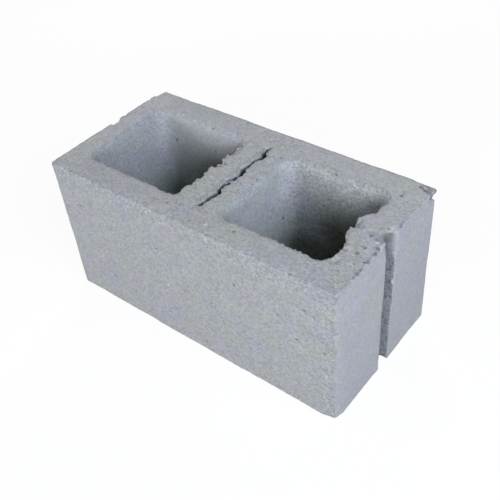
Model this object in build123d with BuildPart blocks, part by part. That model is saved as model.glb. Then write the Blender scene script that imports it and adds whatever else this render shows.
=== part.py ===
from build123d import *
import os

# Two-core hollow concrete block, with a splitting kerf in its centre web and a sash groove in one end.
# The origin is the middle of the bottom bed, +X runs to the grooved end and the front face looks to -Y.

# Overall size: a 400 x 200 x 200 module less one mortar joint
block_length = 390
block_width = 190
block_height = 190

# Walls at the top bed, where they are thickest
face_shell = 33
plain_end_web = 28
centre_web = 58
sash_end_web = 33

# Cores, which widen downwards so that their formers can be drawn
core_draft_angle = 1.5
core_corner_radius = 15
core_lip_radius = 3

# Kerf through the centre web, along which the block is split, a little nearer to the sash end
kerf_width = 5
kerf_offset = 4
kerf_draft_angle = 0.4

# Sash groove with a round root, down the middle of one end
groove_width = 16
groove_depth = 13
groove_mouth_radius = 2

# Boss inside the core, which keeps the end web thick behind the groove
boss_rise = 10
boss_base_width = 58
boss_crest_width = 28
boss_base_radius = 8
boss_crest_radius = 12

# Rubbed outer edges: the uprights and the rims of both beds
upright_arris_radius = 3
bed_arris = 1.5

top_bed = Plane.XY.offset(block_height)
core_width = block_width - 2 * face_shell
plain_core_start = -block_length / 2 + plain_end_web
plain_core_end = -centre_web / 2
sash_core_start = centre_web / 2
sash_core_end = block_length / 2 - sash_end_web
sash_core_crest = sash_core_end - boss_rise
boss_side_wall = (core_width - boss_base_width) / 2
boss_root_radius = min(boss_base_radius, boss_side_wall - core_corner_radius)

with BuildPart() as block:
    # Body of the block, with the groove let into its sash end
    with BuildSketch() as plan:
        RectangleRounded(block_length, block_width, upright_arris_radius)
        with Locations((block_length / 2, 0)):
            SlotOverall(2 * groove_depth, groove_width, mode=Mode.SUBTRACT)
        groove_corners = plan.vertices().filter_by_position(Axis.Y, -groove_width, groove_width)
        fillet(groove_corners.group_by(Axis.X)[-1], groove_mouth_radius)
    extrude(amount=block_height)

    # Core next to the plain end
    with BuildSketch(top_bed) as plain_core:
        with Locations(((plain_core_start + plain_core_end) / 2, 0)):
            RectangleRounded(plain_core_end - plain_core_start, core_width, core_corner_radius)
    extrude(amount=-block_height, taper=-core_draft_angle, mode=Mode.SUBTRACT)

    # Core next to the sash end, which bends round the boss
    with BuildSketch(top_bed) as sash_core:
        with BuildLine() as sash_core_line:
            FilletPolyline(
                (sash_core_start, -core_width / 2),
                (sash_core_end, -core_width / 2),
                (sash_core_end, -boss_base_width / 2),
                (sash_core_crest, -boss_crest_width / 2),
                (sash_core_crest, boss_crest_width / 2),
                (sash_core_end, boss_base_width / 2),
                (sash_core_end, core_width / 2),
                (sash_core_start, core_width / 2),
                radius=(
                    core_corner_radius,
                    core_corner_radius,
                    boss_root_radius,
                    boss_crest_radius,
                    boss_crest_radius,
                    boss_root_radius,
                    core_corner_radius,
                    core_corner_radius,
                ),
                close=True,
            )
        make_face()
    extrude(amount=-block_height, taper=-core_draft_angle, mode=Mode.SUBTRACT)

    # Rounded lips round both core mouths, and rubbed rims round both beds
    top_face = block.faces().sort_by(Axis.Z)[-1]
    fillet(top_face.inner_wires().edges(), core_lip_radius)
    top_face = block.faces().sort_by(Axis.Z)[-1]
    bottom_face = block.faces().sort_by(Axis.Z)[0]
    chamfer(top_face.outer_wire().edges() + bottom_face.outer_wire().edges(), bed_arris)

    # Splitting kerf, as long as the cores are wide
    with BuildSketch(top_bed) as kerf:
        with Locations((kerf_offset, 0)):
            Rectangle(kerf_width, core_width)
    extrude(amount=-block_height, taper=-kerf_draft_angle, mode=Mode.SUBTRACT)

os.makedirs("parts", exist_ok=True)
block.part.label = "block"
export_step(block.part, "parts/block.step")
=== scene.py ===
import math

import bmesh
import bpy
import numpy
from mathutils import Matrix, Vector
from mathutils import noise as fractal


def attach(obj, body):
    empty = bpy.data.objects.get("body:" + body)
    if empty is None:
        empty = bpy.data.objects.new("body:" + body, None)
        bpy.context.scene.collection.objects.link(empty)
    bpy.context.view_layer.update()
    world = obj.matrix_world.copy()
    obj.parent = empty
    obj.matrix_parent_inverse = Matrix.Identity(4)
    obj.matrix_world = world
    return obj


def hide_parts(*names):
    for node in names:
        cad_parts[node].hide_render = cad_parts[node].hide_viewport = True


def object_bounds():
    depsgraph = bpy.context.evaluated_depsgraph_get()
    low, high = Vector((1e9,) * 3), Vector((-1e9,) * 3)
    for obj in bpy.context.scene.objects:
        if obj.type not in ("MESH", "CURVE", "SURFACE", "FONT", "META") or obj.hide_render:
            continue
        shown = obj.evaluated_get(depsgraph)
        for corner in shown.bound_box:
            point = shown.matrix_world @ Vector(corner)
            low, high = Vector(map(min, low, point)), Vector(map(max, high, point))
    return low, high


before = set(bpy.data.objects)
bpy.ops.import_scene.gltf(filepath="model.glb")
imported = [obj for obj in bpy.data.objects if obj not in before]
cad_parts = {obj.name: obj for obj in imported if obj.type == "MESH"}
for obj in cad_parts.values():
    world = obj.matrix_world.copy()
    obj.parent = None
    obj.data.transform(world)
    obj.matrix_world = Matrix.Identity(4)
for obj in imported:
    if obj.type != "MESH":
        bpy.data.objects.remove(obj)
cadLow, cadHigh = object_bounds()
print("frame loaded, box", [round(v, 4) for v in cadHigh - cadLow])

scene = bpy.context.scene
scene.view_settings.view_transform = "Standard"


# small helpers for node trees

def addNode(tree, kind, **settings):
    node = tree.nodes.new(kind)
    for name, value in settings.items():
        setattr(node, name, value)
    return node


def feed(tree, socket, value):  # a socket is linked, anything else is set
    if isinstance(value, bpy.types.NodeSocket):
        tree.links.new(value, socket)
    else:
        socket.default_value = value


def calc(tree, operation, *values):
    node = addNode(tree, "ShaderNodeMath", operation=operation)
    for socket, value in zip(node.inputs, values):
        feed(tree, socket, value)
    return node.outputs[0]


def calcVector(tree, operation, *values):
    node = addNode(tree, "ShaderNodeVectorMath", operation=operation)
    for socket, value in zip(node.inputs, values):
        feed(tree, socket, value)
    single = operation in ("DOT_PRODUCT", "DISTANCE")
    return node.outputs["Value" if single else "Vector"]


def times(tree, *values):
    product = values[0]
    for value in values[1:]:
        product = calc(tree, "MULTIPLY", product, value)
    return product


def greatest(tree, *values):
    found = values[0]
    for value in values[1:]:
        found = calc(tree, "MAXIMUM", found, value)
    return found


def leftOver(tree, share):  # what a share leaves of 1
    return calc(tree, "SUBTRACT", 1.0, share)


def scaled(tree, vector, amount):
    node = addNode(tree, "ShaderNodeVectorMath", operation="SCALE")
    feed(tree, node.inputs[0], vector)
    feed(tree, node.inputs["Scale"], amount)
    return node.outputs[0]


def axes(tree, vector):  # its x, y and z
    node = addNode(tree, "ShaderNodeSeparateXYZ")
    feed(tree, node.inputs[0], vector)
    return tuple(node.outputs)


def ramp(tree, value, low, high, outLow=0.0, outHigh=1.0, smooth=True):  # clamped remap
    kind = "SMOOTHSTEP" if smooth else "LINEAR"
    node = addNode(tree, "ShaderNodeMapRange", interpolation_type=kind)
    names = ("Value", "From Min", "From Max", "To Min", "To Max")
    for name, item in zip(names, (value, low, high, outLow, outHigh)):
        feed(tree, node.inputs[name], item)
    return node.outputs["Result"]


def fade(tree, level, share, full):  # the level, times full where the share is 1
    return times(tree, level, ramp(tree, share, 0.0, 1.0, 1.0, full))


def vary(tree, level, pattern, amount):  # the level, plus a pattern of 0 to 1 about its middle
    return calc(tree, "MULTIPLY_ADD", calc(tree, "SUBTRACT", pattern, 0.5), amount, level)


def noise(tree, place, scale, detail=1.0, roughness=0.5, offset=0.0):  # about 0 to 1, around 0.5
    node = addNode(tree, "ShaderNodeTexNoise", noise_dimensions="4D")
    names = ("Vector", "W", "Scale", "Detail", "Roughness")
    for name, item in zip(names, (place, offset, scale, detail, roughness)):
        feed(tree, node.inputs[name], item)
    return node.outputs[0]


def cells(tree, place, scale):  # distance to the cell's middle, and its random colour
    node = addNode(tree, "ShaderNodeTexVoronoi", feature="F1")
    feed(tree, node.inputs["Vector"], place)
    feed(tree, node.inputs["Scale"], scale)
    return node.outputs["Distance"], node.outputs["Color"]


def mixColour(tree, share, first, second):  # sockets 6, 7 and 2 are the colours'
    node = addNode(tree, "ShaderNodeMix", data_type="RGBA")
    for socket, value in zip(node.inputs[0:1] + node.inputs[6:8], (share, first, second)):
        feed(tree, socket, value)
    return node.outputs[2]


def mixValue(tree, share, first, second):  # sockets 2, 3 and 0 are the numbers'
    node = addNode(tree, "ShaderNodeMix", data_type="FLOAT")
    for socket, value in zip(node.inputs[0:1] + node.inputs[2:4], (share, first, second)):
        feed(tree, socket, value)
    return node.outputs[0]


white = (1, 1, 1, 1)


def tinted(tree, colour, share, tint):  # the colour, times the tint where the share is 1
    return calcVector(tree, "MULTIPLY", colour, mixColour(tree, share, white, tint))


def addSockets(tree, inputs):  # names and kinds of the inputs; the one output is geometry
    for name, kind in inputs.items():
        tree.interface.new_socket(name, in_out="INPUT", socket_type="NodeSocket" + kind)
    tree.interface.new_socket("Geometry", in_out="OUTPUT", socket_type="NodeSocketGeometry")


# camera, fitted to the block's edges in the photograph

photoView = {
    "place": (0.4451, -0.4858, 0.6621),  # metres
    "azimuth": 41.63,  # degrees
    "elevation": 41.57,
    "roll": -5.56,
    "lens": 53.2,  # mm
    "sensor": 36,
    "nearest": 0.01,  # metres
    "farthest": 100,
}


def towards(settings):  # azimuth 0 is before the front face
    azimuth = math.radians(settings["azimuth"])
    elevation = math.radians(settings["elevation"])
    flat = math.cos(elevation)
    return Vector((math.sin(azimuth) * flat, -math.cos(azimuth) * flat, math.sin(elevation)))


def addCamera(view):
    azimuth = math.radians(view["azimuth"])
    roll = math.radians(view["roll"])
    back = towards(view)
    level = Vector((math.cos(azimuth), math.sin(azimuth), 0))
    right = level * math.cos(roll) + back.cross(level) * math.sin(roll)
    up = back.cross(right)
    data = bpy.data.cameras.new("camera")
    data.lens = view["lens"]
    data.sensor_width = view["sensor"]
    data.clip_start = view["nearest"]
    data.clip_end = view["farthest"]
    camera = bpy.data.objects.new("camera", data)
    scene.collection.objects.link(camera)
    turn = Matrix((right, up, back)).transposed().to_4x4()
    camera.matrix_world = Matrix.Translation(view["place"]) @ turn
    scene.camera = camera


addCamera(photoView)
print("camera placed")


# studio: pale floor, soft lamps and an even sky

studio = {
    "floorHalf": 8.0,
    "floorSeen": (0.96, 0.96, 0.96, 1),
    "floorBounce": (0.22, 0.20, 0.17, 1),
    "floorGlow": 1.0,  # white, as the camera sees it
    "glowShare": 0.90,
    "skyLevel": 0.02,
}
lamps = {
    "keyLamp": {"azimuth": 70, "elevation": 30, "watts": 30.5, "colour": (0.83, 0.80, 1.00)},
    "highLamp": {"azimuth": 90, "elevation": 45, "watts": 15.5, "colour": (0.82, 0.98, 1.00)},
    "frontLamp": {"azimuth": 25, "elevation": 18, "watts": 27, "colour": (0.94, 1.00, 0.98)},
    "leftLamp": {"azimuth": -60, "elevation": 15, "watts": 28, "colour": (0.90, 0.90, 1.00)},
    "backLamp": {"azimuth": -150, "elevation": 22, "watts": 24, "colour": (1.00, 0.94, 0.83)},
}
lampStand = {"distance": 2.2, "size": 1.0}


def seenRay(tree):  # camera, mirror and glass rays
    path = addNode(tree, "ShaderNodeLightPath").outputs
    return greatest(tree, path["Is Camera Ray"], path["Is Glossy Ray"], path["Is Transmission Ray"])


def addFloor(settings):
    half = settings["floorHalf"]
    mesh = bpy.data.meshes.new("floor")
    corners = [(-half, -half, 0), (half, -half, 0), (half, half, 0), (-half, half, 0)]
    mesh.from_pydata(corners, [], [(0, 1, 2, 3)])
    floor = bpy.data.objects.new("floor", mesh)
    scene.collection.objects.link(floor)
    material = bpy.data.materials.new("floorWhite")
    material.use_nodes = True
    tree = material.node_tree
    tree.nodes.clear()
    seen = seenRay(tree)
    matt = addNode(tree, "ShaderNodeBsdfDiffuse")
    floorColour = mixColour(tree, seen, settings["floorBounce"], settings["floorSeen"])
    feed(tree, matt.inputs["Color"], floorColour)
    glow = addNode(tree, "ShaderNodeEmission")
    glow.inputs["Strength"].default_value = settings["floorGlow"]
    mix = addNode(tree, "ShaderNodeMixShader")
    feed(tree, mix.inputs[0], times(tree, seen, settings["glowShare"]))
    feed(tree, mix.inputs[1], matt.outputs[0])
    feed(tree, mix.inputs[2], glow.outputs[0])
    output = addNode(tree, "ShaderNodeOutputMaterial")
    feed(tree, output.inputs["Surface"], mix.outputs[0])
    mesh.materials.append(material)


def addSky(settings):
    world = bpy.data.worlds.new("sky")
    scene.world = world
    world.use_nodes = True
    tree = world.node_tree
    tree.nodes.clear()
    strength = ramp(tree, seenRay(tree), 0.0, 1.0, settings["skyLevel"], 1.0, smooth=False)
    background = addNode(tree, "ShaderNodeBackground")
    background.inputs["Color"].default_value = white
    feed(tree, background.inputs["Strength"], strength)
    output = addNode(tree, "ShaderNodeOutputWorld")
    feed(tree, output.inputs["Surface"], background.outputs[0])


def addLamp(name, settings, target):
    away = towards(settings)
    data = bpy.data.lights.new(name, "AREA")
    data.shape = "DISK"
    data.size = lampStand["size"]
    data.energy = settings["watts"]
    data.color = settings["colour"]
    lamp = bpy.data.objects.new(name, data)
    scene.collection.objects.link(lamp)
    lamp.location = target + away * lampStand["distance"]
    lamp.rotation_euler = away.to_track_quat("Z", "Y").to_euler()


addFloor(studio)
addSky(studio)
for lampName, lampSettings in lamps.items():
    addLamp(lampName, lampSettings, (cadLow + cadHigh) / 2)
print("studio lit")


# the block itself: the cast shape, its knocks, then the relief of its skin

blockMesh = {
    "voxel": 0.0015,  # fine enough for the knocks and the ragged lips
    "mostTriangles": 190000,
    "weld": 1e-6,
}
knocks = {  # lumps broken out of the casting: middle, half sizes in metres, turn about Z in degrees
    "plainBackCorner": {"at": (-0.198, 0.096, 0.192), "half": (0.009, 0.020, 0.006), "turn": 12},
    "plainBackEdge": {"at": (-0.198, 0.066, 0.193), "half": (0.006, 0.022, 0.005), "turn": 0},
    "flakeCrack": {"at": (0.1888, 0.0863, 0.1905), "half": (0.0090, 0.0019, 0.0036), "turn": -32},
    "flakeUndercut": {"at": (0.2000, 0.0950, 0.1798), "half": (0.014, 0.014, 0.0053), "turn": 0},
    "flakeGap": {"at": (0.1975, 0.0845, 0.189), "half": (0.006, 0.0040, 0.006), "turn": -20},
    "grooveRoot": {"at": (0.1857, -0.0052, 0.1880), "half": (0.0042, 0.0044, 0.0160), "turn": 0},
    "webDish": {"at": (0.1740, -0.0010, 0.1965), "half": (0.0140, 0.0070, 0.0076), "turn": 0},
    "bossCrack": {"at": (0.1615, 0.0000, 0.1905), "half": (0.0055, 0.0015, 0.0035), "turn": 28},
    "bossNotch": {"at": (0.1535, 0.0025, 0.1915), "half": (0.0065, 0.0075, 0.0065), "turn": -15},
    "bossLip": {"at": (0.1655, -0.0365, 0.192), "half": (0.005, 0.004, 0.0045), "turn": 0},
    "cornerLip": {"at": (0.1660, -0.0535, 0.192), "half": (0.006, 0.005, 0.005), "turn": 0},
    "endPitFirst": {"at": (0.1950, -0.0397, 0.1900), "half": (0.0026, 0.0024, 0.0026), "turn": 0},
    "endPitSecond": {"at": (0.1950, -0.0520, 0.1900), "half": (0.0024, 0.0028, 0.0026), "turn": 0},
    "endPitThird": {"at": (0.1945, -0.0585, 0.1900), "half": (0.0026, 0.0022, 0.0024), "turn": 0},
    "endPitFourth": {"at": (0.1950, -0.0648, 0.1900), "half": (0.0024, 0.0026, 0.0024), "turn": 0},
    "webPitFirst": {"at": (0.1793, -0.0358, 0.1902), "half": (0.0020, 0.0018, 0.0022), "turn": 0},
    "webPitSecond": {"at": (0.1811, -0.0245, 0.1902), "half": (0.0020, 0.0020, 0.0022), "turn": 0},
    "webPitThird": {"at": (0.1948, -0.0263, 0.1900), "half": (0.0024, 0.0020, 0.0026), "turn": 0},
    "webPitFourth": {"at": (0.1926, -0.0180, 0.1902), "half": (0.0028, 0.0020, 0.0024), "turn": 0},
    "webPitFifth": {"at": (0.1774, -0.0069, 0.1908), "half": (0.0022, 0.0020, 0.0020), "turn": 20},
    "webPitSixth": {"at": (0.1862, 0.0117, 0.1902), "half": (0.0020, 0.0018, 0.0022), "turn": 0},
    "webPitSeventh": {"at": (0.1942, 0.0225, 0.1902), "half": (0.0024, 0.0040, 0.0024), "turn": -20},
    "webChipMid": {"at": (-0.0290, 0.0115, 0.1905), "half": (0.0045, 0.0065, 0.0055), "turn": 0},
    "webChipBack": {"at": (-0.0290, 0.0335, 0.1905), "half": (0.0038, 0.0070, 0.0050), "turn": 0},
    "kerfJog": {"at": (0.0002, -0.0100, 0.1900), "half": (0.0028, 0.0022, 0.0040), "turn": 30},
    "nearCorner": {"at": (0.1980, -0.0980, 0.193), "half": (0.006, 0.006, 0.005), "turn": 0},
    "webPitEighth": {"at": (0.1950, -0.0172, 0.1892), "half": (0.0020, 0.0020, 0.0024), "turn": 0},
}
crumbs = {  # lumps left standing
    "kerfJogCrumb": {"at": (0.0040, -0.0112, 0.1862), "half": (0.0028, 0.0018, 0.0040), "turn": 40},
    "grooveNub": {"at": (0.1932, 0.0080, 0.1200), "half": (0.0024, 0.0022, 0.0026), "turn": 0},
    "flakeTip": {"at": (0.1900, 0.0918, 0.1876), "half": (0.0070, 0.0032, 0.0020), "turn": 10},
    "cornerCrumb": {"at": (0.1640, -0.0540, 0.1866), "half": (0.0030, 0.0028, 0.0028), "turn": 0},
    "sideCrumb": {"at": (0.1652, -0.0412, 0.1866), "half": (0.0028, 0.0036, 0.0028), "turn": 0},
}
lumpShape = {
    "subdivisions": 4,
    "roughness": 0.22,  # share of the half size
    "waves": 2.3,
    "step": 7.3,  # so that no two are alike
}


def castCopy(node):
    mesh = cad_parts[node].data.copy()
    shape = bmesh.new()
    shape.from_mesh(mesh)
    bmesh.ops.remove_doubles(shape, verts=shape.verts, dist=blockMesh["weld"])
    shape.to_mesh(mesh)
    shape.free()
    mesh.materials.clear()
    piece = bpy.data.objects.new("concreteBlock", mesh)
    scene.collection.objects.link(piece)
    return piece


def addLump(shape, knock, number):
    made = bmesh.ops.create_icosphere(shape, subdivisions=lumpShape["subdivisions"], radius=1)
    turn = Matrix.Rotation(math.radians(knock["turn"]), 3, "Z")
    half = Vector(knock["half"])
    step = Vector((number * lumpShape["step"], 0, 0))
    for point in made["verts"]:
        bumpiness = fractal.noise(point.co * lumpShape["waves"] + step)
        swollen = point.co * (1 + lumpShape["roughness"] * bumpiness)
        point.co = turn @ (swollen * half) + Vector(knock["at"])


def lumpMesh(name, lumps):
    shape = bmesh.new()
    for number, lump in enumerate(lumps.values()):
        addLump(shape, lump, number)
    mesh = bpy.data.meshes.new(name)
    shape.to_mesh(mesh)
    shape.free()
    return mesh


def breakKnocks(piece):
    cutter = bpy.data.objects.new("knocks", lumpMesh("knocks", knocks))
    scene.collection.objects.link(cutter)
    cut = piece.modifiers.new("knocks", "BOOLEAN")
    cut.operation = "DIFFERENCE"
    cut.solver = "EXACT"
    cut.use_self = True
    cut.object = cutter
    bakeModifiers(piece)
    bpy.data.objects.remove(cutter)


def addCrumbs(piece):  # the remesh that follows makes one skin of them
    shape = bmesh.new()
    shape.from_mesh(piece.data)
    shape.from_mesh(lumpMesh("crumbs", crumbs))
    shape.to_mesh(piece.data)
    shape.free()


wornLips = {  # runs of crumbs: ends of the run in metres, how many, their half size
    "centreWeb": {"start": (-0.0288, -0.054), "end": (-0.0286, 0.000), "count": 17, "half": 0.0030},
    "centreWebNub": {"start": (-0.0286, 0.0195), "end": (-0.0286, 0.0265), "count": 2, "half": 0.0036},
    "centreWebBack": {"start": (-0.0284, 0.0420), "end": (-0.0284, 0.0540), "count": 3, "half": 0.0030},
    "sashFront": {"start": (0.060, -0.0632), "end": (0.146, -0.0632), "count": 26, "half": 0.0017},
    "sashFrontBend": {"start": (0.1498, -0.0630), "end": (0.1575, -0.0592), "count": 4, "half": 0.0017},
    "sashSide": {"start": (0.1640, -0.0490), "end": (0.1640, -0.0410), "count": 3, "half": 0.0020},
    "bossNear": {"start": (0.1618, -0.0285), "end": (0.1545, -0.0105), "count": 3, "half": 0.0026},
    "bossFar": {"start": (0.1545, 0.0150), "end": (0.1612, 0.0260), "count": 2, "half": 0.0026},
}
crumbRun = {
    "height": 0.1876,
    "stray": (0.0007, 0.0007, 0.0005),
    "smallest": 0.55,  # shares of the half size
    "largest": 1.25,
    "subdivisions": 2,
    "firstSeed": 3,
}
crumbInputs = {
    "Geometry": "Geometry",
    "Start": "Vector",
    "End": "Vector",
    "Count": "Int",
    "Half Size": "Float",
    "Seed": "Int",
    "Material": "Material",
}


def crumbTree():  # lumps strung along a straight run
    tree = bpy.data.node_groups.new("lipCrumbs", "GeometryNodeTree")
    addSockets(tree, crumbInputs)
    given = addNode(tree, "NodeGroupInput").outputs
    line = addNode(tree, "GeometryNodeMeshLine", mode="END_POINTS")
    feed(tree, line.inputs["Count"], given["Count"])
    feed(tree, line.inputs["Start Location"], given["Start"])
    feed(tree, line.inputs["Offset"], given["End"])
    stray = addNode(tree, "FunctionNodeRandomValue", data_type="FLOAT_VECTOR")
    feed(tree, stray.inputs[0], tuple(-value for value in crumbRun["stray"]))
    feed(tree, stray.inputs[1], crumbRun["stray"])
    feed(tree, stray.inputs["Seed"], given["Seed"])
    move = addNode(tree, "GeometryNodeSetPosition")
    feed(tree, move.inputs["Geometry"], line.outputs[0])
    feed(tree, move.inputs["Offset"], stray.outputs[0])
    ball = addNode(tree, "GeometryNodeMeshIcoSphere")
    feed(tree, ball.inputs["Radius"], given["Half Size"])
    ball.inputs["Subdivisions"].default_value = crumbRun["subdivisions"]
    size = addNode(tree, "FunctionNodeRandomValue", data_type="FLOAT_VECTOR")
    feed(tree, size.inputs[0], (crumbRun["smallest"],) * 3)
    feed(tree, size.inputs[1], (crumbRun["largest"],) * 3)
    feed(tree, size.inputs["Seed"], given["Seed"])
    string = addNode(tree, "GeometryNodeInstanceOnPoints")
    feed(tree, string.inputs["Points"], move.outputs[0])
    feed(tree, string.inputs["Instance"], ball.outputs[0])
    feed(tree, string.inputs["Scale"], size.outputs[0])
    realize = addNode(tree, "GeometryNodeRealizeInstances")
    feed(tree, realize.inputs[0], string.outputs[0])
    join = addNode(tree, "GeometryNodeJoinGeometry")
    feed(tree, join.inputs[0], realize.outputs[0])
    feed(tree, join.inputs[0], given["Geometry"])
    paint = addNode(tree, "GeometryNodeSetMaterial")
    feed(tree, paint.inputs["Geometry"], join.outputs[0])
    feed(tree, paint.inputs["Material"], given["Material"])
    feed(tree, addNode(tree, "NodeGroupOutput").inputs[0], paint.outputs[0])
    return tree


def strewLips(piece, material):
    tree = crumbTree()
    height = (crumbRun["height"],)
    for number, run in enumerate(wornLips.values()):
        values = {
            "Start": run["start"] + height,
            "End": run["end"] + height,
            "Count": run["count"],
            "Half Size": run["half"],
            "Seed": number + crumbRun["firstSeed"],
            "Material": material,
        }
        setTree(piece, "crumbs" + str(number), tree, values)
    bakeModifiers(piece)


def setTree(piece, name, tree, values):  # inputs by their identifiers, before the first evaluation
    modifier = piece.modifiers.new(name, "NODES")
    for item in tree.interface.items_tree:
        if item.in_out == "INPUT" and item.name in values:
            modifier[item.identifier] = values[item.name]
    modifier.node_group = tree


kerfRun = {  # metres: how the kerf wanders about its middle
    "middle": 0.0040,
    "halfLength": 0.066,
    "widening": 0.0001,
    "widthWave": 0.0006,
    "widthStart": 0.042,
    "widthPeriod": 0.0043,  # each period is for one radian
    "shift": 0.0006,
    "wave": 0.0013,
    "waveStart": 0.002,
    "wavePeriod": 0.00645,
    "jitter": 0.0006,
    "jitterPeriod": 0.0031,
    "fineJitter": 0.0003,
    "finePeriod": 0.0014,
    "fadeStart": 0.004,
    "fadeEnd": 0.014,
    "lipStart": -0.0085,  # its left lip is rubbed round
    "lipEnd": -0.0028,
    "lipDrop": 0.0030,
    "lipFoot": 0.182,
    "lipReach": 0.056,
}


def readPlaces(piece):
    places = numpy.empty(len(piece.data.vertices) * 3, dtype=numpy.float32)
    piece.data.vertices.foreach_get("co", places)
    return places.reshape(-1, 3)


def writePlaces(piece, places):
    piece.data.vertices.foreach_set("co", places.astype(numpy.float32).ravel())
    piece.data.update()


def rise(values, low, high):  # 0 at low, 1 at high
    return numpy.clip((values - low) / (high - low), 0, 1)


def wanderKerf(piece):
    run = kerfRun
    places = readPlaces(piece)
    x = places[:, 0] - run["middle"]
    y = places[:, 1]
    near = rise(abs(x), run["fadeEnd"], run["fadeStart"]) * (abs(y) < run["halfLength"])
    shift = run["shift"] + run["wave"] * numpy.cos((y - run["waveStart"]) / run["wavePeriod"])
    shift = shift + run["jitter"] * numpy.sin(y / run["jitterPeriod"])
    shift = shift + run["fineJitter"] * numpy.sin(y / run["finePeriod"])
    wave = run["widthWave"] * numpy.cos((y - run["widthStart"]) / run["widthPeriod"])
    rubbed = rise(x, run["lipStart"], run["lipEnd"]) ** 2 * rise(x, 0.0, run["lipEnd"] / 2)
    rubbed = rubbed * rise(places[:, 2], run["lipFoot"], cadHigh[2])
    rubbed = rubbed * rise(abs(y), run["halfLength"], run["lipReach"])
    places[:, 0] = places[:, 0] + near * (shift + numpy.sign(x) * (run["widening"] + wave))
    places[:, 2] = places[:, 2] - run["lipDrop"] * rubbed
    writePlaces(piece, places)


grooveRun = {  # metres: how far the groove's walls stray to the back, at heights up the block
    "near": {
        "stray": (
            (0.070, 0.0003),
            (0.100, 0.0010),
            (0.120, 0.0021),
            (0.166, 0.0021),
            (0.178, 0.0038),
            (0.187, 0.0036),
        ),
        "outside": (-0.022, -0.013),  # where the shift sets in
        "inside": (-0.001, -0.006),
        "mouth": (0.185, 0.191),
    },
    "far": {
        "stray": (
            (0.070, 0.0030),
            (0.090, 0.0044),
            (0.160, 0.0043),
            (0.176, 0.0021),
            (0.188, 0.0012),
        ),
        "outside": (0.022, 0.013),
        "inside": (0.001, 0.006),
        "mouth": (0.177, 0.184),
    },
}


def wanderGroove(piece):
    places = readPlaces(piece)
    x, y, z = places.T
    shift = 0
    for wall in grooveRun.values():
        heights, strays = zip(*wall["stray"])
        share = rise(y, *wall["outside"]) * rise(y, *wall["inside"]) * rise(x, *wall["mouth"])
        shift = shift + share * numpy.interp(z, heights, strays)
    places[:, 1] = y + shift
    writePlaces(piece, places)


def bakeModifiers(piece):  # the evaluated shape becomes the plain mesh
    depsgraph = bpy.context.evaluated_depsgraph_get()
    mesh = bpy.data.meshes.new_from_object(piece.evaluated_get(depsgraph), depsgraph=depsgraph)
    piece.modifiers.clear()
    piece.data = mesh


skin = {  # relief of the concrete, in metres
    "Edge Full": 0.0008,  # how far a square edge stands out of its blurred self
    "Chip Depth": 0.0030,
    "Chip Spacing": 0.0140,
    "Crumb Spacing": 0.0060,
    "Outer Chips": 0.70,  # shares
    "Lip Chips": 1.00,
    "Edge Sharpening": 0.90,
    "Far Lip Rounding": 1.00,
    "Pit Depth": 0.0016,
    "Pit Spacing": 0.0110,
    "Pit Reach": 0.0030,
    "Grain Height": 0.00035,
    "Grain Size": 0.0034,
    "Swell Height": 0.0006,
    "Swell Size": 0.0450,
    "Seed": 4.0,
}
wear = {  # bounds between which each thing sets in, metres where it is a place, and the shares at both
    "edge": (0.15, 1.0),  # shares of a full edge
    "wideEdge": (0.3, 1.3),
    "inner": (0.008, 0.016),  # inward from the outer faces
    "nearLip": (0.05, 0.4),  # how far the solid side looks to +X
    "upper": (0.150, 0.180, 0.25, 1.0),
    "offKerf": (0.010, 0.018),
    "kerfChips": (0.0, 1.0, 0.3, 1.0),
    "backChips": (0.086, 0.092, 1.0, 0.3),
    "plainChips": (-0.180, -0.190, 1.0, 0.25),
    "sashLeft": (0.050, 0.038),
    "sashLeftEnd": (0.010, 0.018),
    "plainLeft": (-0.145, -0.157, 0.0, 0.25),
    "plainLeftEnd": (-0.186, -0.178),
    "backLip": (0.040, 0.052),
    "backLipRight": (0.150, 0.135),
    "backLipLeft": (-0.170, -0.150),
    "offWeb": (0.006, 0.020),
    "mouthDepth": (0.012, 0.008, 0.0, 0.8),
    "mouthWidth": (0.018, 0.012),
    "farJamb": (0.000, 0.004),
    "farJambHead": (0.150, 0.168),
    "arrisEnd": (0.176, 0.188),
    "arrisFace": (-0.078, -0.088),
    "arrisFoot": (0.186, 0.170, 0.0, 0.7),
    "nearJambEnd": (0.182, 0.190),
    "nearJambHead": (0.166, 0.178),
    "nearJamb": (-0.028, -0.018, 0.0, 0.4),
    "nearJambMouth": (0.000, -0.005),
    "crispTop": (0.165, 0.183),
    "crispFront": (-0.092, -0.082, 0.6, 1.0),  # softer in front
    "flakeEnd": (0.166, 0.174),
    "flakeSide": (0.074, 0.080),
    "chips": (0.48, 0.7, 0.0, 0.5),  # of the noise
    "crumbs": (0.42, 0.62, 0.0, 0.5),
    "bossCrumbs": (0.120, 0.145, 1.0, 0.4),  # fewer on the boss
    "swell": (0.4, 0.75),
}
blurRounds = {"narrow": 10, "wide": 45}
webLip = 0.0290  # metres, left of the middle
voids = {"picked": (0.55, 1.0), "floor": 0.35, "smallest": 0.0002}
seedStep = (0.37, 0.61, 0.23)


def blurStep(tree, position, rounds):  # the way from each point to its blurred self
    blur = addNode(tree, "GeometryNodeBlurAttribute", data_type="FLOAT_VECTOR")
    feed(tree, blur.inputs["Value"], position)
    blur.inputs["Iterations"].default_value = rounds
    return calcVector(tree, "SUBTRACT", blur.outputs["Value"], position)


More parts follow.
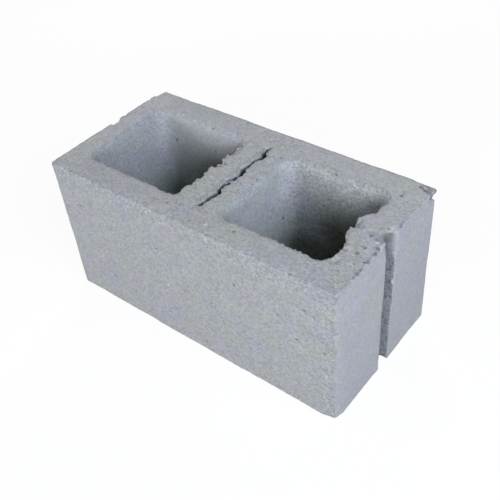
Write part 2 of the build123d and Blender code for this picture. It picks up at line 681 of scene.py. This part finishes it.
def reliefTree():
    tree = bpy.data.node_groups.new("concreteRelief", "GeometryNodeTree")
    inputs = {"Geometry": "Geometry"}
    inputs.update({name: "Float" for name in skin})
    inputs.update({"Low Corner": "Vector", "High Corner": "Vector", "Material": "Material"})
    addSockets(tree, inputs)
    given = addNode(tree, "NodeGroupInput").outputs
    position = addNode(tree, "GeometryNodeInputPosition").outputs[0]
    normal = addNode(tree, "GeometryNodeInputNormal").outputs[0]
    seeded = calcVector(tree, "ADD", position, scaled(tree, seedStep, given["Seed"]))
    x, y, z = axes(tree, position)
    absX, absY = axes(tree, calcVector(tree, "ABSOLUTE", position))[:2]

    def zone(value, name):
        return ramp(tree, value, *wear[name])

    def outstand(inward):  # how sharply the surface stands out of its blurred self
        height = times(tree, calcVector(tree, "DOT_PRODUCT", inward, normal), -1.0)
        return calc(tree, "DIVIDE", height, given["Edge Full"])

    def spaced(name, detail=1.0):
        return noise(tree, seeded, calc(tree, "DIVIDE", 1.0, given[name]), detail)

    inward = blurStep(tree, position, blurRounds["narrow"])
    edge = zone(outstand(inward), "edge")
    wideInward = blurStep(tree, position, blurRounds["wide"])  # for the lips of the cores
    wideEdge = zone(outstand(wideInward), "wideEdge")

    # near lips crumble, the outer top edges keep fairly sharp
    highX, highY = axes(tree, given["High Corner"])[:2]
    reachX = calc(tree, "SUBTRACT", highX, absX)
    reachY = calc(tree, "SUBTRACT", highY, absY)
    inner = zone(calc(tree, "MINIMUM", reachX, reachY), "inner")
    solidSide = axes(tree, calcVector(tree, "NORMALIZE", inward))[0]
    nearLip = times(tree, inner, zone(solidSide, "nearLip"), wideEdge)
    offKerf = zone(absX, "offKerf")
    chipShare = times(tree, edge, given["Outer Chips"])
    chipShare = calc(tree, "MULTIPLY_ADD", nearLip, given["Lip Chips"], chipShare)
    chipShare = times(tree, chipShare, zone(z, "upper"), zone(offKerf, "kerfChips"))
    chipShare = times(tree, chipShare, zone(y, "backChips"), zone(x, "plainChips"))

    # the left and back lips of each core are rubbed round
    sashLeft = times(tree, zone(x, "sashLeft"), zone(x, "sashLeftEnd"))
    plainLeft = times(tree, zone(x, "plainLeft"), zone(x, "plainLeftEnd"))
    offWeb = zone(calc(tree, "ABSOLUTE", calc(tree, "ADD", x, webLip)), "offWeb")
    backLip = times(tree, zone(y, "backLip"), zone(x, "backLipRight"), zone(x, "backLipLeft"), offWeb)
    farLip = times(tree, greatest(tree, sashLeft, plainLeft, backLip), inner, offKerf)

    # the groove's mouth keeps sharp, but for the heads of its jambs, and the near arris is rubbed too
    mouth = times(tree, zone(reachX, "mouthDepth"), zone(absY, "mouthWidth"))
    farJamb = times(tree, mouth, zone(y, "farJamb"), zone(z, "farJambHead"))
    nearArris = times(tree, zone(x, "arrisEnd"), zone(y, "arrisFace"), zone(z, "arrisFoot"))
    nearJamb = times(tree, zone(x, "nearJambEnd"), zone(z, "nearJambHead"))
    nearJamb = times(tree, nearJamb, zone(y, "nearJamb"), zone(y, "nearJambMouth"))
    farLip = greatest(tree, farLip, farJamb, nearArris, nearJamb)
    roundShare = times(tree, farLip, given["Far Lip Rounding"])
    flake = times(tree, zone(x, "flakeEnd"), zone(y, "flakeSide"))
    crisp = times(tree, greatest(tree, zone(z, "crispTop"), mouth), edge, leftOver(tree, farLip))
    crisp = times(tree, crisp, calc(tree, "SUBTRACT", given["Edge Sharpening"], flake))
    crisp = times(tree, greatest(tree, crisp, 0.0), zone(y, "crispFront"))

    # chips and crumbs lost along the edges
    fine = times(tree, zone(spaced("Crumb Spacing"), "crumbs"), zone(x, "bossCrumbs"))
    chips = calc(tree, "ADD", zone(spaced("Chip Spacing", detail=2.0), "chips"), fine)
    lost = times(tree, chips, chipShare, given["Chip Depth"])

    # round voids that the mould face cuts open
    pitPlace = scaled(tree, seeded, calc(tree, "DIVIDE", 1.0, given["Pit Spacing"]))
    pitDistance, pitColour = cells(tree, pitPlace, 1.0)
    pitDistance = times(tree, pitDistance, given["Pit Spacing"])
    pitPick = addNode(tree, "FunctionNodeSeparateColor")
    feed(tree, pitPick.inputs[0], pitColour)
    pitReach = ramp(tree, pitPick.outputs[0], *voids["picked"], smooth=False)
    pitReach = times(tree, pitReach, given["Pit Reach"])
    pits = ramp(tree, pitDistance, pitReach, times(tree, pitReach, voids["floor"]))
    pits = times(tree, pits, calc(tree, "GREATER_THAN", pitReach, voids["smallest"]))
    lost = calc(tree, "MULTIPLY_ADD", pits, given["Pit Depth"], lost)

    # grain and slow swell of the skin
    lost = calc(tree, "MULTIPLY_ADD", spaced("Grain Size"), given["Grain Height"], lost)
    swell = zone(spaced("Swell Size"), "swell")
    lost = calc(tree, "MULTIPLY_ADD", swell, given["Swell Height"], lost)

    rounding = scaled(tree, wideInward, roundShare)
    rounding = calcVector(tree, "SUBTRACT", rounding, scaled(tree, inward, crisp))
    offset = calcVector(tree, "SUBTRACT", rounding, scaled(tree, normal, lost))
    moved = calcVector(tree, "MAXIMUM", calcVector(tree, "ADD", position, offset), given["Low Corner"])
    moved = calcVector(tree, "MINIMUM", moved, given["High Corner"])

    geometry = given["Geometry"]
    edgeWearAndShade = times(tree, edge, leftOver(tree, farLip))
    rubbed = times(tree, farLip, wideEdge)
    for name, field in (("wornAndShadedEdge", edgeWearAndShade), ("pit", pits), ("farLip", rubbed)):  # for the paint: worn edges (wear and painted shade), pits and far lips (painted shade)
        store = addNode(tree, "GeometryNodeStoreNamedAttribute", data_type="FLOAT", domain="POINT")
        feed(tree, store.inputs["Geometry"], geometry)
        store.inputs["Name"].default_value = name
        feed(tree, store.inputs["Value"], field)
        geometry = store.outputs["Geometry"]
    move = addNode(tree, "GeometryNodeSetPosition")
    feed(tree, move.inputs["Geometry"], geometry)
    feed(tree, move.inputs["Position"], moved)
    smooth = addNode(tree, "GeometryNodeSetShadeSmooth")
    feed(tree, smooth.inputs[0], move.outputs[0])
    realize = addNode(tree, "GeometryNodeRealizeInstances")
    feed(tree, realize.inputs[0], smooth.outputs[0])
    paint = addNode(tree, "GeometryNodeSetMaterial")
    feed(tree, paint.inputs["Geometry"], realize.outputs[0])
    feed(tree, paint.inputs["Material"], given["Material"])
    feed(tree, addNode(tree, "NodeGroupOutput").inputs[0], paint.outputs[0])
    return tree


def addRelief(piece, material):
    values = dict(skin)
    values["Low Corner"] = cadLow
    values["High Corner"] = cadHigh
    values["Material"] = material
    setTree(piece, "relief", reliefTree(), values)
    bakeModifiers(piece)


def thin(piece, most):
    triangles = sum(len(face.vertices) - 2 for face in piece.data.polygons)
    modifier = piece.modifiers.new("thin", "DECIMATE")
    modifier.ratio = min(1.0, most / triangles)
    bakeModifiers(piece)
    places = readPlaces(piece)
    writePlaces(piece, numpy.clip(places, numpy.array(cadLow), numpy.array(cadHigh)))


skinPaint = {
    "cool": (0.400, 0.405, 0.440, 1),
    "warm": (0.403, 0.419, 0.412, 1),
    "tintSize": 0.030,  # metres
    "mottleSize": 0.016,
    "mottle": 0.10,
    "patchSize": 0.006,
    "patch": 0.14,
    "grainSize": 0.0022,
    "grain": 0.38,
    "dustSize": 0.0013,
    "dust": 0.26,
    "speckSize": 0.0036,
    "roughSpecks": 0.055,  # more pale ones where it is rough
    "paleSpeck": 0.45,
    "darkSpeck": -0.25,  # twice that on the beds
    # painted shade in the pits
    "pitPaintedShade": 0.45,
    "pitRim": (1.4, 0.9),  # times the half size
    "fleckCore": 0.5,
    "roughness": 0.95,
    "specular": 0.25,
    "bumpHeight": 0.0007,
    "bumpStrength": 0.65,
    "bumpGrain": 0.6,
    "endCoarse": 0.55,  # contrast of the end faces, the long faces and the beds
    "faceCoarse": 0.86,
    "bedCoarse": 0.66,
    "rimCoarse": 1.40,
    "coreCoarse": 1.55,
    "plainBackCoarse": 0.5,
    "kerfCrumbs": (0.0150, 0.0040, 0.1900),
    "edgePeak": 4.0,  # brings half times half up to 1
    # painted shade on the rounded uprights, against their highlight
    "arrisShade": 0.09,
    "bedTint": (0.958, 0.950, 0.932, 1),
    "bedFront": 0.955,  # painted light and shade: the bed is paler to the back and over the plain end
    "bedBack": 1.025,
    "bedPlain": 1.085,
    # worn edges darker, partly wear and partly painted shade against the edge highlight; less of it at
    # the far end
    "edgeWearPaintedShade": 0.14,
    "farEndEdgeShare": 0.5,
    # painted shade on the rounded lips of the cores, against the lamps' highlight; half as much over the
    # plain core
    "lipShade": 0.13,
    "backLipShade": 0.20,
    "plainLipShare": 0.5,
    "flakeLine": 0.1741,  # metres, out to the far corner
    "flakeBlur": 0.001,
    "flakeAcross": (0.533, 0.845, 0.0),
    "flakeColour": (0.245, 0.238, 0.222, 1),
    "blotchSize": 0.0040,
    "crackWander": 0.0060,
    "crackCore": 0.4,
    "crackFlat": (1, 1, 0.35),  # so that the painted shade reaches inside a crack too
    # painted shade in the kerf
    "kerfPaintedShade": 0.60,
    # painted shade on the rounded far lips, against their highlight
    "farLipPaintedShade": 0.06,
    "grooveMouth": 0.1953,
    "grooveWall": (0.62, 0.65, 0.68, 1),  # tints, painted shade and painted light of the inner walls: the groove's walls, then the cores' walls
    # painted shade, brownish, at the head of the groove
    "grooveHead": (0.46, 0.46, 0.42, 1),
    # tints of the cores' side walls, with some painted shade
    "plainCoreWall": (0.890, 0.930, 0.930, 1),
    "sashCoreWall": (0.970, 1.020, 1.008, 1),
    # painted shade near the tops of the cores' side walls, painted light low down
    "wallHead": 0.92,
    "wallFoot": 1.08,
    "coreLeft": (1.22, 1.27, 1.24, 1),  # painted light on the back walls, low down, away from the right
    # painted shade low in the cores and, browner, to the right
    "coreFoot": (0.50, 0.50, 0.46, 1),
    "coreRight": (0.49, 0.48, 0.34, 1),
}
tones = {  # bounds between which each shade sets in, metres where it is a place, and the shares at both
    "withinEnds": (0.181, 0.176),
    "withinFaces": (0.080, 0.070),
    "upright": (0.6, 0.2),  # how far the skin faces up
    "onBed": (0.5, 0.9),
    "rimEnd": (0.168, 0.186),
    "rimTop": (0.164, 0.182),
    "rimFace": (-0.088, -0.093),
    "jambEnd": (0.158, 0.168),
    "jambSide": (0.005, -0.005),
    "jambHeadSide": (-0.024, -0.016),
    "jambHeadTop": (0.172, 0.178),
    "kerfCrumbs": (0.014, 0.006),
    "coarseWeb": (0.030, 0.022),
    "coarseFront": (-0.060, -0.070, 0.0, 0.5),
    "coarsePlain": (-0.164, -0.172, 0.0, 0.5),
    "sash": (-0.01, 0.01),
    "tint": (0.35, 0.65),  # of the noise, as are the specks, the grain and the blotches
    "speck": (0.38, 0.22),
    "paleSpeck": (0.975, 0.995),
    "darkSpeck": (0.90, 0.97),
    "edgeDarkeningTop": (0.172, 0.184),
    "farEnd": (0.180, 0.188),
    "farEndSide": (0.024, 0.032),
    "bedAcross": (-0.080, 0.080),
    "bedPlain": (-0.150, -0.175),
    "backHalf": (0.0, 0.02),
    "mouthStart": (0.150, 0.164, 0.1935, 0.1880),
    "grooveDepth": (0.176, 0.180),
    "grooveWidth": (0.0140, 0.0128),
    "grooveSide": (0.0, 0.80, 0.30, 1.0),
    "grooveHead": (0.168, 0.182),
    "darkGrain": (0.72, 0.84, 0.0, 0.35),
    "darkGrainTop": (0.162, 0.150),
    "kerfWidth": (0.0065, 0.0045),
    "kerfLength": (0.066, 0.062),
    "plainRight": (-0.125, -0.085),
    "plainRightEnd": (0.0, -0.01),
    "sashRight": (0.055, 0.095),
    "coreLeft": (0.140, 0.108),
    "coreFoot": (0.088, 0.062),
    "coreRight": (0.150, 0.085),
    "wallHeight": (0.085, 0.170),
    "flakeTop": (0.178, 0.184),
    "flakeBlotch": (0.32, 0.52, 0.25, 1.0),
    "grainBump": (0.6, 0.0),
}
crackShadeAndDirt = {  # dark lines in the top bed, painted shade in cracks and along broken edges with some dirt: ends and half width in metres, how much darker
    "flake": {
        "start": (0.1808, 0.0877, 0.1900),
        "end": (0.1945, 0.0815, 0.1890),
        "half": 0.0030,
        "shade": 0.50,
    },
    "leftCorner": {
        "start": (-0.195, -0.0950, 0.1890),
        "end": (-0.195, -0.0760, 0.1890),
        "half": 0.0034,
        "shade": 0.25,
    },
    "boss": {
        "start": (0.1570, -0.0025, 0.1885),
        "end": (0.1660, 0.0023, 0.1895),
        "half": 0.0013,
        "shade": 0.50,
    },
    "backEdge": {
        "start": (0.1500, 0.0945, 0.1895),
        "end": (0.1900, 0.0945, 0.1895),
        "half": 0.0024,
        "shade": 0.30,
    },
}
flecks = {  # pale grains: middle and radius in metres, how much brighter
    "frontLow": {"at": (-0.0316, -0.0950, 0.0810), "radius": 0.0022, "lift": 0.45},
    "frontHigh": {"at": (0.0390, -0.0950, 0.1830), "radius": 0.0020, "lift": 0.40},
    "topFront": {"at": (0.0300, -0.0820, 0.1900), "radius": 0.0026, "lift": 0.45},
    "grooveNear": {"at": (0.1871, -0.0112, 0.1892), "radius": 0.0027, "lift": 0.50},
    "grooveCorner": {"at": (0.1922, -0.0098, 0.1888), "radius": 0.0018, "lift": 0.35},
    "grooveFar": {"at": (0.1922, 0.0092, 0.1890), "radius": 0.0016, "lift": 0.35},
    "cornerCrumb": {"at": (0.1650, -0.0538, 0.1885), "radius": 0.0028, "lift": 0.25},
    "sideCrumb": {"at": (0.1662, -0.0411, 0.1885), "radius": 0.0026, "lift": 0.20},
}


def lineDistance(tree, place, start, end):
    line = Vector(end) - Vector(start)
    reach = calcVector(tree, "SUBTRACT", place, start)
    share = calc(tree, "DIVIDE", calcVector(tree, "DOT_PRODUCT", reach, line), line.length_squared)
    foot = scaled(tree, tuple(line), ramp(tree, share, 0.0, 1.0, smooth=False))
    return calcVector(tree, "DISTANCE", reach, foot)


def concrete():
    material = bpy.data.materials.new("greyConcrete")
    material.use_nodes = True
    tree = material.node_tree
    shader = tree.nodes["Principled BSDF"]
    coords = addNode(tree, "ShaderNodeTexCoord").outputs
    place = coords["Object"]
    x, y, z = axes(tree, place)
    absX, absY = axes(tree, calcVector(tree, "ABSOLUTE", place))[:2]
    facing = calcVector(tree, "MULTIPLY", coords["Normal"], coords["Normal"])
    endOn, faceOn, bedOn = axes(tree, facing)  # how far the skin faces along x, y and z

    def zone(value, name):
        return ramp(tree, value, *tones[name])

    def stored(name):
        return addNode(tree, "ShaderNodeAttribute", attribute_name=name).outputs["Fac"]

    def picked(colour):
        node = addNode(tree, "ShaderNodeSeparateColor")
        feed(tree, node.inputs[0], colour)
        return node.outputs

    # parts of the block
    within = times(tree, zone(absX, "withinEnds"), zone(absY, "withinFaces"))
    upright = zone(bedOn, "upright")
    onBed = zone(bedOn, "onBed")
    inCore = times(tree, within, upright)
    sash = zone(x, "sash")  # 0 at the plain core, 1 at the sash core
    endWall = times(tree, inCore, faceOn)
    sideWall = times(tree, inCore, endOn)

    # how coarse it is: front rim, near jamb, crumbs by the kerf, beds and cores
    rim = times(tree, greatest(tree, zone(x, "rimEnd"), zone(z, "rimTop")), zone(y, "rimFace"))
    jambHead = times(tree, zone(y, "jambHeadSide"), zone(z, "jambHeadTop"))
    jamb = times(tree, zone(x, "jambEnd"), zone(y, "jambSide"), greatest(tree, bedOn, jambHead))
    broken = calcVector(tree, "DISTANCE", place, skinPaint["kerfCrumbs"])
    coarseBed = greatest(tree, zone(absX, "coarseWeb"), zone(y, "coarseFront"), zone(x, "coarsePlain"))
    coarseBed = times(tree, coarseBed, bedOn)
    rough = greatest(tree, rim, jamb, zone(broken, "kerfCrumbs"), coarseBed)
    coarse = times(tree, endOn, skinPaint["endCoarse"])
    coarse = calc(tree, "MULTIPLY_ADD", faceOn, skinPaint["faceCoarse"], coarse)
    coarse = calc(tree, "MULTIPLY_ADD", bedOn, skinPaint["bedCoarse"], coarse)
    coarse = fade(tree, coarse, rough, skinPaint["rimCoarse"])
    coarse = fade(tree, coarse, inCore, skinPaint["coreCoarse"])
    plainBack = times(tree, endWall, leftOver(tree, sash))
    coarse = fade(tree, coarse, plainBack, skinPaint["plainBackCoarse"])

    # grain, specks and mottle
    tint = noise(tree, place, 1 / skinPaint["tintSize"], detail=3.0, roughness=0.55, offset=2.0)
    mottle = noise(tree, place, 1 / skinPaint["mottleSize"], detail=2.0, offset=5.0)
    patch = noise(tree, place, 1 / skinPaint["patchSize"], offset=7.0)
    dust = noise(tree, place, 1 / skinPaint["dustSize"], offset=9.0)
    blotch = noise(tree, place, 1 / skinPaint["blotchSize"], offset=3.0)
    grainDistance, grainColour = cells(tree, place, 1 / skinPaint["grainSize"])
    grainPick = picked(grainColour)
    speckDistance, speckColour = cells(tree, place, 1 / skinPaint["speckSize"])
    speckPick = picked(speckColour)
    inSpeck = zone(speckDistance, "speck")
    palePick = calc(tree, "MULTIPLY_ADD", rough, skinPaint["roughSpecks"], speckPick[0])
    paleSpeck = times(tree, inSpeck, zone(palePick, "paleSpeck"))
    darkSpeck = times(tree, inSpeck, zone(speckPick[1], "darkSpeck"))
    speckShade = calc(tree, "MULTIPLY_ADD", bedOn, skinPaint["darkSpeck"], skinPaint["darkSpeck"])
    uneven = vary(tree, 0.0, grainPick[0], skinPaint["grain"])
    uneven = vary(tree, uneven, dust, skinPaint["dust"])
    uneven = calc(tree, "MULTIPLY_ADD", darkSpeck, speckShade, uneven)
    uneven = calc(tree, "MULTIPLY_ADD", paleSpeck, skinPaint["paleSpeck"], uneven)
    uneven = times(tree, uneven, coarse)
    uneven = vary(tree, uneven, mottle, skinPaint["mottle"])
    uneven = vary(tree, uneven, patch, skinPaint["patch"])
    level = calc(tree, "ADD", uneven, 1.0)

    # pits with painted shade, worn edges darkened by wear and painted shade, painted shade on the far
    # lips, then the single pale flecks, and painted shade in the knocked pits and cracks
    level = fade(tree, level, stored("pit"), 1 - skinPaint["pitPaintedShade"])
    edgeWearAndShade = times(tree, stored("wornAndShadedEdge"), zone(z, "edgeDarkeningTop"))
    farEnd = times(tree, zone(x, "farEnd"), zone(y, "farEndSide"))
    edgeWearAndShade = fade(tree, edgeWearAndShade, farEnd, skinPaint["farEndEdgeShare"])
    level = fade(tree, level, edgeWearAndShade, 1 - skinPaint["edgeWearPaintedShade"])
    level = fade(tree, level, stored("farLip"), 1 - skinPaint["farLipPaintedShade"])
    for fleck in flecks.values():
        reach = calcVector(tree, "DISTANCE", place, fleck["at"])
        inFleck = ramp(tree, reach, fleck["radius"], fleck["radius"] * skinPaint["fleckCore"])
        level = calc(tree, "MULTIPLY_ADD", inFleck, fleck["lift"], level)
    # painted shade in the knocked pits
    for name, knock in knocks.items():
        if "Pit" in name:
            reach = calcVector(tree, "DISTANCE", place, knock["at"])
            inPitShade = ramp(tree, reach, *(knock["half"][0] * share for share in skinPaint["pitRim"]))
            level = fade(tree, level, inPitShade, 1 - skinPaint["pitPaintedShade"])
    flat = calcVector(tree, "MULTIPLY", place, skinPaint["crackFlat"])
    for crack in crackShadeAndDirt.values():
        start = Vector(crack["start"]) * Vector(skinPaint["crackFlat"])
        end = Vector(crack["end"]) * Vector(skinPaint["crackFlat"])
        reach = vary(tree, lineDistance(tree, flat, start, end), blotch, skinPaint["crackWander"])
        inCrackShade = ramp(tree, reach, crack["half"], crack["half"] * skinPaint["crackCore"])
        level = fade(tree, level, inCrackShade, 1 - crack["shade"])

    # beds, lips and arrises: a painted gradient of light over the beds, painted shade on the rounded
    # lips and arrises
    colour = mixColour(tree, zone(tint, "tint"), skinPaint["cool"], skinPaint["warm"])
    colour = tinted(tree, colour, onBed, skinPaint["bedTint"])
    # painted light over the beds
    bedPaintedLightEnds = (skinPaint["bedFront"], skinPaint["bedBack"])
    paintedBedLight = ramp(tree, y, *tones["bedAcross"], *bedPaintedLightEnds, smooth=False)
    paintedBedLight = times(tree, paintedBedLight, ramp(tree, x, *tones["bedPlain"], 1.0, skinPaint["bedPlain"]))
    level = times(tree, level, mixValue(tree, onBed, 1.0, paintedBedLight))
    plainLips = ramp(tree, sash, 0.0, 1.0, skinPaint["plainLipShare"], 1.0)
    # painted shade where the skin turns from bed to wall, against the lamps' highlight
    paintedLipShade = times(tree, endOn, bedOn, skinPaint["edgePeak"], within, skinPaint["lipShade"], plainLips)
    level = times(tree, level, leftOver(tree, paintedLipShade))
    # painted shade on the back lips, against their highlight
    backLip = times(tree, faceOn, bedOn, skinPaint["edgePeak"], within, zone(y, "backHalf"))
    backLip = times(tree, backLip, skinPaint["backLipShade"], plainLips)
    level = times(tree, level, leftOver(tree, backLip))
    # painted shade on the rounded uprights
    paintedArrisShade = times(tree, endOn, faceOn, skinPaint["edgePeak"])
    paintedArrisShade = times(tree, paintedArrisShade, calc(tree, "SUBTRACT", skinPaint["arrisShade"], within))
    level = times(tree, level, leftOver(tree, greatest(tree, paintedArrisShade, 0.0)))

    # groove and kerf: painted shade in both, and dark grain in the groove
    inGroove = times(tree, upright, ramp(tree, x, skinPaint["grooveMouth"], zone(z, "mouthStart")))
    inGroove = times(tree, inGroove, zone(x, "grooveDepth"), zone(absY, "grooveWidth"))
    inGroove = times(tree, inGroove, zone(faceOn, "grooveSide"))
    paintedGrooveShade = mixColour(tree, zone(z, "grooveHead"), skinPaint["grooveWall"], skinPaint["grooveHead"])
    colour = tinted(tree, colour, inGroove, paintedGrooveShade)
    darkGrain = times(tree, inGroove, zone(grainPick[1], "darkGrain"), zone(z, "darkGrainTop"))
    level = times(tree, level, leftOver(tree, darkGrain))
    offMiddle = calc(tree, "ABSOLUTE", calc(tree, "SUBTRACT", x, kerfRun["middle"]))
    inKerf = times(tree, zone(offMiddle, "kerfWidth"), zone(absY, "kerfLength"), upright)
    level = fade(tree, level, inKerf, 1 - skinPaint["kerfPaintedShade"])

    # walls of the cores: painted light low down away from the right, painted shade low down and to the
    # right, and tints with some painted shade
    rightward = times(tree, zone(x, "plainRight"), zone(x, "plainRightEnd"))
    rightward = greatest(tree, rightward, zone(x, "sashRight"))
    paintedCoreLight = mixColour(tree, zone(z, "coreLeft"), white, skinPaint["coreLeft"])
    paintedCoreLight = tinted(tree, paintedCoreLight, zone(z, "coreFoot"), skinPaint["coreFoot"])
    paintedCoreShade = mixColour(tree, zone(z, "coreRight"), white, skinPaint["coreRight"])
    sideTint = mixColour(tree, sash, skinPaint["plainCoreWall"], skinPaint["sashCoreWall"])
    colour = tinted(tree, colour, sideWall, sideTint)
    colour = tinted(tree, colour, endWall, mixColour(tree, rightward, paintedCoreLight, paintedCoreShade))
    paintedWallLight = ramp(tree, z, *tones["wallHeight"], skinPaint["wallFoot"], skinPaint["wallHead"])
    level = times(tree, level, mixValue(tree, sideWall, 1.0, paintedWallLight))

    # the loose flake's older skin
    across = calcVector(tree, "DOT_PRODUCT", place, skinPaint["flakeAcross"])
    across = calc(tree, "SUBTRACT", across, skinPaint["flakeLine"])
    onFlake = ramp(tree, across, -skinPaint["flakeBlur"], skinPaint["flakeBlur"])
    onFlake = times(tree, onFlake, zone(z, "flakeTop"), zone(blotch, "flakeBlotch"))
    colour = mixColour(tree, onFlake, colour, skinPaint["flakeColour"])

    feed(tree, shader.inputs["Base Color"], scaled(tree, colour, level))
    shader.inputs["Roughness"].default_value = skinPaint["roughness"]
    shader.inputs["Specular IOR Level"].default_value = skinPaint["specular"]
    relief = zone(grainDistance, "grainBump")
    relief = calc(tree, "MULTIPLY_ADD", relief, skinPaint["bumpGrain"], dust)
    bump = addNode(tree, "ShaderNodeBump")
    bump.inputs["Distance"].default_value = skinPaint["bumpHeight"]
    feed(tree, bump.inputs["Strength"], times(tree, coarse, skinPaint["bumpStrength"]))
    feed(tree, bump.inputs["Height"], relief)
    feed(tree, shader.inputs["Normal"], bump.outputs[0])
    return material


block = castCopy("block")
breakKnocks(block)
addCrumbs(block)
paint = concrete()
strewLips(block, paint)
print("knocks broken out", len(block.data.polygons), "faces")
remesh = block.modifiers.new("voxels", "REMESH")
remesh.mode = "VOXEL"
remesh.voxel_size = blockMesh["voxel"]
bakeModifiers(block)
wanderKerf(block)
wanderGroove(block)
print("block remeshed", len(block.data.polygons), "faces")
addRelief(block, paint)
print("relief added", len(block.data.polygons), "faces")
thin(block, blockMesh["mostTriangles"])
print("block thinned", len(block.data.polygons), "faces")
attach(block, "root")
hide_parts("block")
